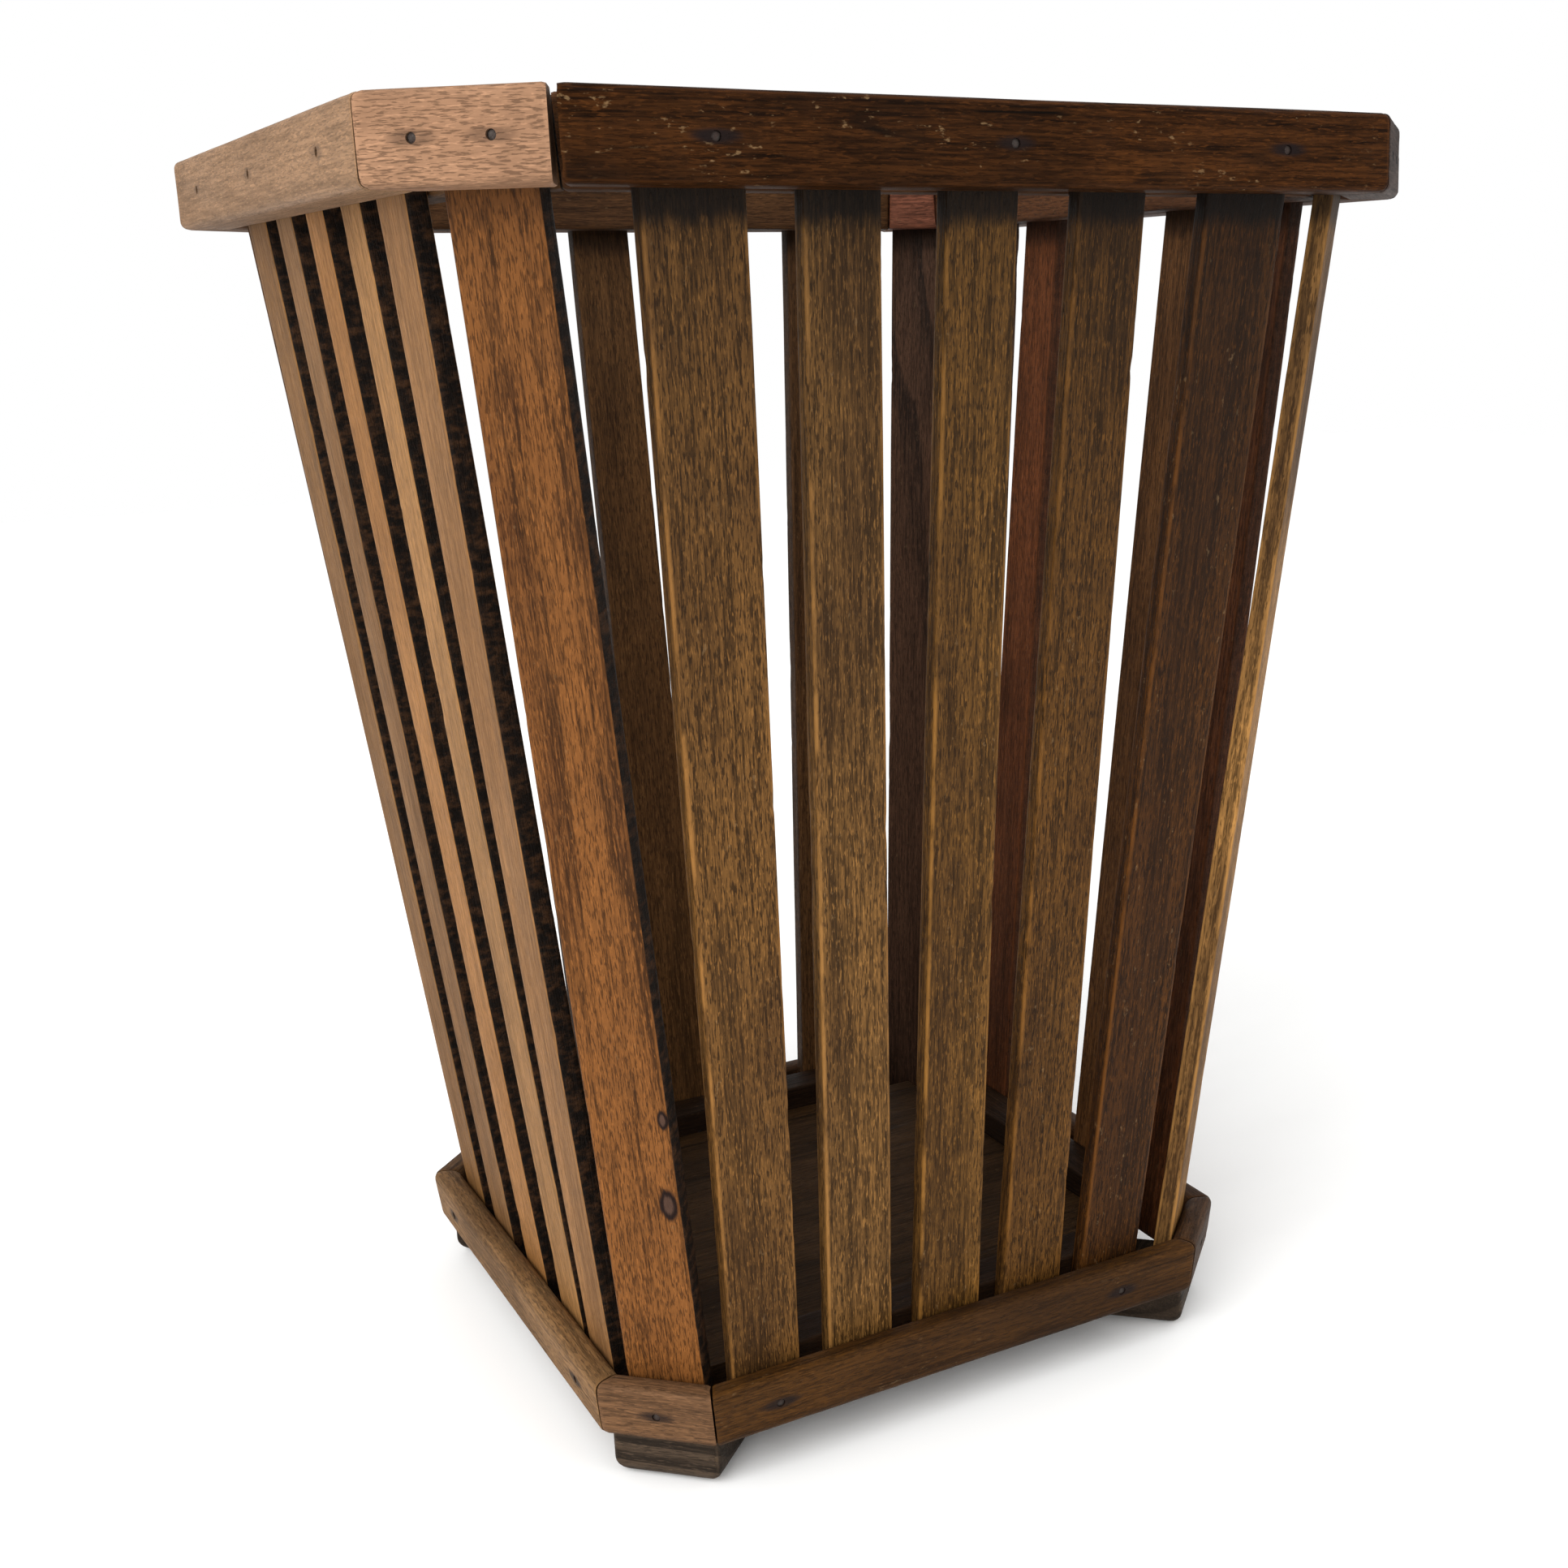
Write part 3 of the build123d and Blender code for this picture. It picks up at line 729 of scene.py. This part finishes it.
def addRing(kind, low, high, outer, inner, shape, looks, openJoint=None):
    # outer and inner are (side, corner) distances at the low edge and at the high edge
    meets = [sqrt(2) * pair[1] - pair[0] for pair in (outer[0], outer[1], inner[0])]
    byDistance = (meets[0] - meets[2]) / (outer[0][0] - inner[0][0])
    byHeight = (meets[1] - meets[0] - byDistance * (outer[1][0] - outer[0][0])) / (high - low)
    fixed = meets[0] - byDistance * outer[0][0] - byHeight * low
    slack = rim["mitreGap"] * sqrt(1 + byDistance ** 2 + byHeight ** 2)
    up = Vector((0, 0, 1))
    for name, angle in allAngles.items():
        isSide = name in sideAngles
        row = 0 if isSide else 1
        corners = []
        for way in (-1, 1):
            for height, level in ((low, 0), (high, 1)):
                for faces in (inner, outer):
                    distance = faces[level][row]
                    if isSide:
                        half = fixed + byDistance * distance + byHeight * height - slack
                        if (name, way) == openJoint:
                            half -= rim["openMitre"]
                    else:
                        half = (1 - byDistance) * distance - sqrt(2) * (fixed + byHeight * height)
                        half = half / (1 + byDistance) - slack
                    corners.append(spotAt(angle, distance, way * half, height))
        label = f"{kind}_rail_{name}" if isSide else f"{kind}_corner_{name}"
        axes = (rightward(angle), up, outward(angle))
        origin = spotAt(angle, outer[0][row], 0, low)
        addBoard(label, corners, axes, origin, shape, looks.get(name, {}))


rimShape = {"rowLength": 0.0017, "rowsAcross": 18, "rowsThrough": 14, "edge": 0.0026, "end": 0.0003,
            "wave": 0.00035, "chips": 0.0009}
rimLooks = {
    # the front and front-right boards' dark tones are partly the wood's colour and partly painted shade,
    # those faces being turned from the key light
    "front": {"tone": (51, 27, 8), "dark": 0.2, "light": 1.6, "streaks": 1.6, "flecks": 0.6, "scuffs": 0.4,
              "cracks": 1.0, "blotches": 0.6, "blotchTone": (16, 8, 4), "wearAndHighlight": 0.5, "wornAndHighlightTone": 2.2,
              "ringWidth": 0.006, "roughness": 0.5, "gloss": 0.03, "stain": 1.0},
    "left": {"tone": (123, 94, 68), "dark": 0.72, "pores": 0.3, "stain": 0.35, "blotches": 0.15,
             "blotchTone": (90, 68, 50)},
    "front_left": {"tone": (140, 106, 81), "dark": 0.72, "pores": 0.6, "fibre": 0.4, "stain": 0.45,
                   "blotches": 0.2, "blotchTone": (98, 66, 46)},
    "front_right": {"tone": (52, 30, 16), "dark": 0.4, "blotches": 0.4, "blotchTone": (18, 10, 6)},
    "right": {"tone": (74, 44, 23), "dark": 0.38, "blotches": 0.45},
    "back_right": {"tone": (92, 60, 36), "dark": 0.45},
    "back": {"tone": (78, 49, 26), "dark": 0.4, "blotches": 0.4},
    "back_left": {"tone": (104, 72, 46), "dark": 0.5},
}
# the slats' outer and inner faces at the heights of the rings, for a side and a corner
slatsOut = {height: (wallOutside(0, height), wallOutside(1, height))
            for height in (baseLow, baseHigh, rimLow, rimHigh)}
slatsIn = {height: (wallInside(0, height), wallInside(1, height)) for height in (rimLow, rimHigh)}
addRing("rim", rimLow, rimHigh, (rimFace, rimFace), (slatsOut[rimLow], slatsOut[rimHigh]), rimShape, rimLooks,
        ("front", -1))

innerShape = {**rimShape, "edge": 0.0018, "rowsAcross": 16, "rowsThrough": 12}
innerLooks = {name: {"tone": colour, "dark": 0.42, "blotches": 0.3, "wearAndHighlight": 0.3} for name, colour in {
    "front": (74, 46, 25), "right": (74, 45, 25), "back": (72, 47, 26), "left": (88, 60, 36),
    "front_right": (72, 44, 24), "back_right": (96, 56, 40), "back_left": (78, 50, 28),
    "front_left": (76, 50, 28)}.items()}
addRing("inner_rim", rimLow, rimHigh, (slatsIn[rimLow], slatsIn[rimHigh]), (innerRimFace, innerRimFace),
        innerShape, innerLooks)

baseShape = {**rimShape, "edge": 0.0032, "rowsAcross": 16, "rowsThrough": 12, "wave": 0.0004, "chips": 0.0008}
baseLooks = {
    # the front and front-right boards' dark tones are partly the wood's colour and partly painted shade,
    # those faces being turned from the key light
    "front": {"tone": (67, 41, 13), "dark": 0.4, "blotches": 0.5, "blotchTone": (30, 18, 10)},
    "left": {"tone": (117, 86, 53), "dark": 0.5, "blotches": 0.35},
    "front_left": {"tone": (100, 71, 47), "dark": 0.5, "blotches": 0.3},
    "right": {"tone": (70, 45, 25), "dark": 0.42, "blotches": 0.45},
    "back": {"tone": (76, 50, 28), "dark": 0.42, "blotches": 0.45},
    "front_right": {"tone": (64, 42, 24)},
    "back_right": {"tone": (76, 50, 30)},
    "back_left": {"tone": (88, 62, 38)},
}
faces = [tuple(distance + base["thickness"] for distance in slatsOut[height])
         for height in (baseLow, baseHigh)]
addRing("base", baseLow, baseHigh, faces, (slatsOut[baseLow], slatsOut[baseHigh]), baseShape, baseLooks)
print("rim and base boards started")

slatShape = {"rowLength": 0.0018, "rowsAcross": 16, "rowsThrough": 8, "edge": 0.0009, "end": 0.0005,
             "wave": 0.0003, "chips": 0.00045}
slatTones = {
    "front": ((97, 66, 31), (99, 69, 34), (93, 63, 26), (79, 51, 19), (63, 36, 10)),
    "left": ((109, 75, 38), (112, 79, 45), (133, 91, 48), (132, 94, 53), (124, 87, 50)),
    "back": ((86, 58, 32), (80, 54, 28), (92, 62, 33), (86, 57, 29), (94, 64, 34)),
    "right": ((88, 50, 26), (96, 62, 32), (84, 52, 26), (98, 54, 27), (82, 50, 26)),
}
slatManner = {
    "front": {"dark": 0.34, "pores": 0.85, "flecks": 0.65, "scuffs": 0.3, "streaks": 1.3, "fibre": 1.1,
              "underRimGrimeAndShade": 0.95, "wearAndHighlight": 0.9, "wornAndHighlightTone": 2.2, "roughness": 0.5},
    "left": {"dark": 0.66, "pores": 0.35, "flecks": 0.15, "fibre": 0.7, "sawnAndShadedSides": 1.0, "blotches": 0.2,
             "blotchTone": (78, 52, 34)},
    "back": {"dark": 0.4, "pores": 0.7, "flecks": 0.4, "sawnAndShadedSides": 0.5, "underRimGrimeAndShade": 0.7},
    "right": {"dark": 0.4, "pores": 0.7, "flecks": 0.4, "sawnAndShadedSides": 0.5, "underRimGrimeAndShade": 0.7},
}
cornerLooks = {
    "front_left": {"tone": (103, 63, 28), "dark": 0.3, "fibre": 1.0, "streaks": 2.4, "rings": 0.7,
                   "ringWidth": 0.007, "blotches": 0.6, "blotchTone": (52, 24, 12), "pores": 0.7,
                   "flecks": 0.4, "underRimGrimeAndShade": 0.35, "wander": 0.012, "sawnAndShadedSides": 1.0},
    "front_right": {"tone": (150, 108, 58), "dark": 0.3, "underRimGrimeAndShade": 0.8, "pores": 0.8, "wearAndHighlight": 0.7,
                    "blotches": 0.6},
    "back_right": {"tone": (66, 44, 30), "dark": 0.26, "underRimGrimeAndShade": 0.6, "rings": 0.7, "ringWidth": 0.009,
                   "wander": 0.02, "lean": 0.12},
    "back_left": {"tone": (78, 52, 30), "dark": 0.42},
}
# of each knot: its place along and across the slat, and its size
cornerKnots = {"front_left": [(0.076, -0.0085, 0.0062), (0.103, -0.0102, 0.0036)]}


def addSlat(name, angle, row, centres, widths, look, knots=()):
    right = rightward(angle)
    slope, cosine = wallSlope[row], wallCosine[row]
    facing = outward(angle) * cosine - Vector((0, 0, slope * cosine))
    upSlope = outward(angle) * slope * cosine + Vector((0, 0, cosine))
    start = spotAt(angle, wallFoot[row], 0, baseLow)
    rise = rimHigh - slat["recess"] - baseLow - slat["thickness"] * slope * cosine
    ends = [start + right * centres[0], start + upSlope * (rise / cosine) + right * centres[1]]
    corners = []
    for end, width in zip(ends, widths):
        for way in (1, -1):
            for depth in (slat["thickness"], 0):
                corners.append(end + right * (way * width / 2) - facing * depth)
    along = (ends[1] - ends[0]).normalized()
    axes = (along, facing.cross(along), facing)
    addBoard(name, corners, axes, ends[0], slatShape, look, knots)


for side, angle in sideAngles.items():
    for number in range(basket["slatsPerSide"]):
        isEnd = number in (0, basket["slatsPerSide"] - 1)
        centres = [slatCentre(side, number, baseLow), slatCentre(side, number, rimHigh)]
        widths = [slatWidth, endTopWidth if isEnd else slatWidth]
        # from 0 to 1, so that the slats of a side are not cut from the same place in the log
        change = (number * 37 + len(side) * 11) % 10 / 10
        look = {**slatManner[side], "tone": slatTones[side][number],
                "heart": (0.02 * change - 0.01, -0.02 - 0.05 * change), "lean": 0.05 * change - 0.025}
        addSlat(f"slat_{side}_{number + 1}", angle, 0, centres, widths, look)
for corner, angle in cornerAngles.items():
    addSlat(f"slat_corner_{corner}", angle, 1, (0, 0), (slat["cornerWidth"],) * 2,
            cornerLooks[corner], cornerKnots.get(corner, ()))
print("slats started")

# Cleats, floor and feet
plainShape = {"rowLength": 0.002, "rowsAcross": 12, "rowsThrough": 10, "edge": 0.0006, "end": 0.0005,
              "wave": 0.0002, "chips": 0.0006}
cleatLook = {"tone": (46, 30, 18), "dark": 0.45, "blotches": 0.5, "blotchTone": (18, 12, 8)}
cleatHalf = sideRoom(baseLow) - cleat["cornerSpace"]
for side, angle in sideAngles.items():
    corners = []
    for way in (-1, 1):
        for height in (baseLow, baseHigh):
            for distance in (cleatFace, wallInside(0, height)):
                corners.append(spotAt(angle, distance, way * cleatHalf, height))
    addBoard(f"cleat_{side}", corners, (rightward(angle), Vector((0, 0, 1)), outward(angle)),
             spotAt(angle, wallInside(0, baseLow), 0, baseLow), plainShape, cleatLook)

floorHalf = cleatFace - floorBoard["gap"]
corners = [Vector((x, y, z)) for x in (-floorHalf, floorHalf) for y in (-floorHalf, floorHalf)
           for z in (baseLow, baseLow + floorBoard["thickness"])]
floorShape = {**plainShape, "rowsAcross": 90, "rowsThrough": 6, "rowLength": 0.0018, "wave": 0.0005}
floorLook = {"tone": (62, 42, 22), "dark": 0.45, "blotches": 0.55, "blotchTone": (26, 17, 10),
             "ringWidth": 0.012, "heart": (0.03, -0.02), "wander": 0.03, "cracks": 0.4}
addBoard("floor_board", corners, (Vector((1, 0, 0)), Vector((0, 1, 0)), Vector((0, 0, 1))),
         Vector((0, 0, baseLow + floorBoard["thickness"])), floorShape, floorLook)

footShape = {"rowLength": 0.0009, "rowsAcross": 30, "rowsThrough": 34, "edge": 0.002, "start": 0.0055,
             "end": 0.0003, "wave": 0.0003, "chips": 0.0006}
footLook = {"tone": (62, 50, 39), "dark": 0.34, "blotches": 0.4, "blotchTone": (26, 20, 16), "rings": 0.9,
            "heart": (0.03, -0.02), "wander": 0.012}
for corner, angle in cornerAngles.items():
    corners = []
    for height in (0, baseLow):
        for way in (1, -1):
            for distance in (footBack, footFront):
                corners.append(spotAt(angle, distance, way * foot["width"] / 2, height))
    addBoard(f"foot_{corner}", corners, (rightward(angle), Vector((0, 0, 1)), outward(angle)),
             spotAt(angle, footFront, 0, 0), footShape, footLook)
print("cleats, floor and feet started")


ironLook = {
    "tone": (60, 54, 50), "rustTone": (40, 24, 16), "pitTone": (26, 18, 14),
    "rustScale": 700.0, "pitScale": 2600.0,
    "reliefStrength": 0.6, "relief": 0.0002,
}


def rustyIron(name="rusty iron"):
    material = bpy.data.materials.new(name)
    material.use_nodes = True
    tree = material.node_tree
    tree.nodes.clear()
    world = addNode(tree, "ShaderNodeTexCoord", output="Object")
    rust = ease(noise(world * ironLook["rustScale"], 4.0, 0.65), 0.38, 0.62)
    pits = noise(world * ironLook["pitScale"], 3.0, 0.6)
    colour = mixColour(rust, tone(*ironLook["tone"]), tone(*ironLook["rustTone"]))
    colour = mixColour(ease(pits, 0.55, 0.7), colour, tone(*ironLook["pitTone"]))
    bump = addNode(tree, "ShaderNodeBump", {}, {
        "Strength": ironLook["reliefStrength"], "Distance": ironLook["relief"], "Height": pits - rust * 0.4})
    surface = addNode(tree, "ShaderNodeBsdfPrincipled", {}, {
        "Base Color": colour, "Metallic": 0.85 - rust * 0.75, "Roughness": 0.42 + rust * 0.4, "Normal": bump})
    end = tree.nodes.new("ShaderNodeOutputMaterial")
    tree.links.new(surface.socket, end.inputs["Surface"])
    return material


iron = rustyIron()
nailPieces = {}
for group, length in (("rim_nails", "rimLength"), ("brads", "bradLength"), ("foot_nails", "footLength")):
    nailPieces[group] = startPiece(group, punchedNail, nails[group], {
        "Head Radius": nail["headRadius"], "Head Thickness": nail["headThickness"],
        "Shank Radius": nail["shankRadius"], "Length": nail[length], "Material": iron})

finishPieces(boards)
finishPieces(nailPieces)
print("boards and nails turned into plain meshes")

for name, piece in {**boards, **nailPieces}.items():
    piece.name = "worn_" + name
    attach(piece, "root")
    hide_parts(name)

# Studio
studio = {
    "floorSize": 6.0, "floorTone": (254, 254, 253), "floorRoughness": 0.9, "floorGloss": 0.1, "sky": 1.0,
    "keyPower": 70.0, "keySize": 2.6, "keyPlace": (-2.0, -1.1, 1.5),
    "fillPower": 6.0, "fillSize": 1.5, "fillPlace": (1.2, -2.2, 1.2),
    "aim": (0, 0, 0.2),
}


def addStudio():
    half = studio["floorSize"] / 2
    mesh = bpy.data.meshes.new("studio_floor")
    corners = [(-half, -half, 0), (half, -half, 0), (half, half, 0), (-half, half, 0)]
    mesh.from_pydata(corners, [], [(0, 1, 2, 3)])
    ground = bpy.data.objects.new("studio_floor", mesh)
    bpy.context.scene.collection.objects.link(ground)
    paper = bpy.data.materials.new("studio paper")
    paper.use_nodes = True
    surface = paper.node_tree.nodes["Principled BSDF"].inputs
    surface["Base Color"].default_value = tone(*studio["floorTone"])
    surface["Roughness"].default_value = studio["floorRoughness"]
    surface["Specular IOR Level"].default_value = studio["floorGloss"]
    mesh.materials.append(paper)
    sky = bpy.data.worlds.new("studio sky")
    sky.use_nodes = True
    glow = sky.node_tree.nodes["Background"].inputs
    glow["Color"].default_value = (1, 1, 1, 1)
    glow["Strength"].default_value = studio["sky"]
    bpy.context.scene.world = sky
    for name in ("key", "fill"):
        place = Vector(studio[name + "Place"])
        lamp = bpy.data.lights.new(name, "AREA")
        lamp.size = studio[name + "Size"]
        lamp.energy = studio[name + "Power"]
        holder = bpy.data.objects.new(name, lamp)
        bpy.context.scene.collection.objects.link(holder)
        holder.location = place
        holder.rotation_euler = (Vector(studio["aim"]) - place).to_track_quat("-Z", "Y").to_euler()
    bpy.context.scene.view_settings.view_transform = "Standard"


addStudio()
print("studio set")
